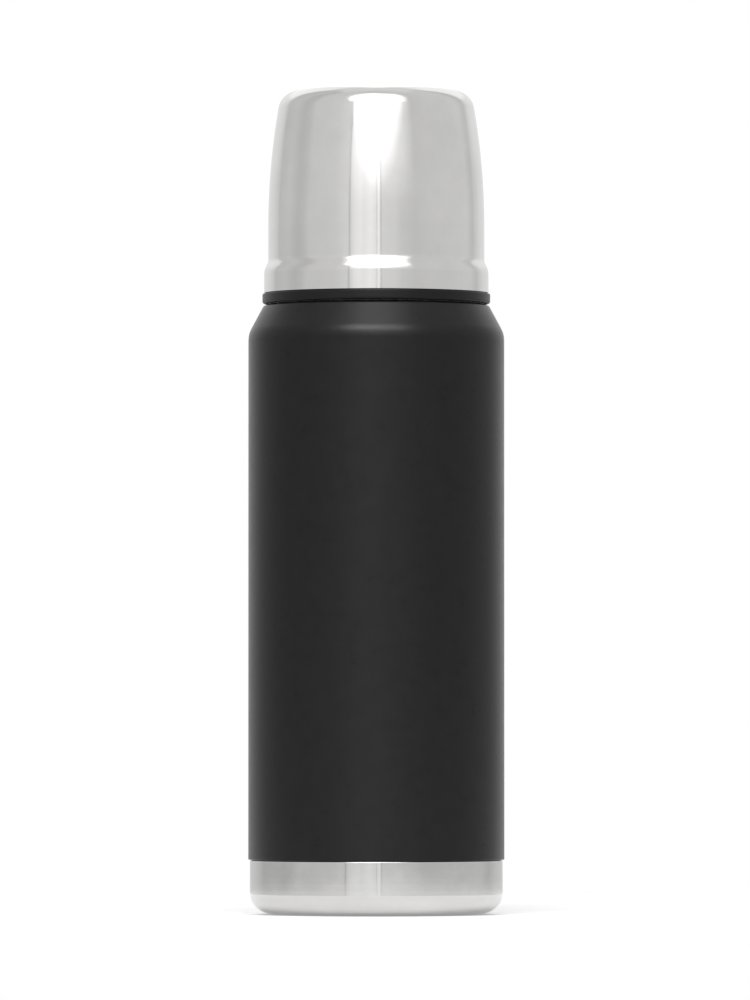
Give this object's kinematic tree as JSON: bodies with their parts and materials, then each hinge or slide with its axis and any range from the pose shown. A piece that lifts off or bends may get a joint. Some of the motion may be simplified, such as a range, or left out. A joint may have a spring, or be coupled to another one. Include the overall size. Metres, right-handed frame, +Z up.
{
  "type": "vacuum flask",
  "caption": "Double-walled steel vacuum flask with a screw-on drinking cup and a screw-in stopper that pours when its button is pressed.",
  "frame": {"origin": "centre of the standing face, on the axis of the flask", "axes": "+Z up along the axis of the flask, from the base to the cup; -Y is the front, where the stopper pours"},
  "size_m": [0.084, 0.084, 0.2708],
  "materials": {
    "polished_steel": "polished, with faint turning marks",
    "drawn_steel": "satin",
    "black_coat": "satin powder coat with a fine texture",
    "black_plastic": "satin moulded",
    "grey_plastic": "satin moulded",
    "silicone": "matt translucent",
    "spring_steel": "drawn wire",
    "copper_foil": "bright foil",
    "foam": "open cells",
    "getter_alloy": "sintered",
    "seal_glass": "fused"
  },
  "bodies": {
    "flask": {"outer_shell": "black_coat", "base_cup": "polished_steel", "outer_bottom": "drawn_steel", "vacuum_seal": "seal_glass", "getter": "getter_alloy", "getter_clip": "drawn_steel", "heat_shield": "copper_foil", "inner_liner": "drawn_steel", "liner_bottom": "drawn_steel"},
    "stopper_slide": {"stopper_gasket": "silicone"},
    "stopper": {"stopper_housing": "black_plastic", "insulation_foam": "foam", "foam_cover": "black_plastic", "stopper_top": "black_plastic", "housing_seal": "silicone", "stem_seal": "silicone", "valve_spring": "spring_steel"},
    "pour_valve": {"push_button": "grey_plastic", "valve_stem": "grey_plastic", "valve_disc": "grey_plastic", "valve_seal": "silicone", "valve_nut": "drawn_steel"},
    "cup_slide": {"cup_washer": "silicone"},
    "cup": {"cup_shell": "polished_steel", "cup_collar": "black_plastic"}
  },
  "joints": [
    {"name": "stopper_lift", "type": "slide", "parent": "flask", "child": "stopper_slide", "axis": [0, 0, 1], "range_m": [0, 0.045]},
    {"name": "stopper_twist", "type": "hinge", "parent": "stopper_slide", "child": "stopper", "pos_m": [0, 0, 0.2], "axis": [0, 0, 1], "range_deg": [0, 450]},
    {"name": "button_press", "type": "slide", "parent": "stopper", "child": "pour_valve", "axis": [0, 0, -1], "range_m": [0, 0.003], "stiffness_N_per_m": 500, "springref_m": -0.002, "deforming": ["valve_spring"]},
    {"name": "cup_lift", "type": "slide", "parent": "stopper_slide", "child": "cup_slide", "axis": [0, 0, 1], "range_m": [0, 0.085]},
    {"name": "cup_twist", "type": "hinge", "parent": "cup_slide", "child": "cup", "pos_m": [0, 0, 0.2], "axis": [0, 0, 1], "range_deg": [0, 360]}
  ]
}
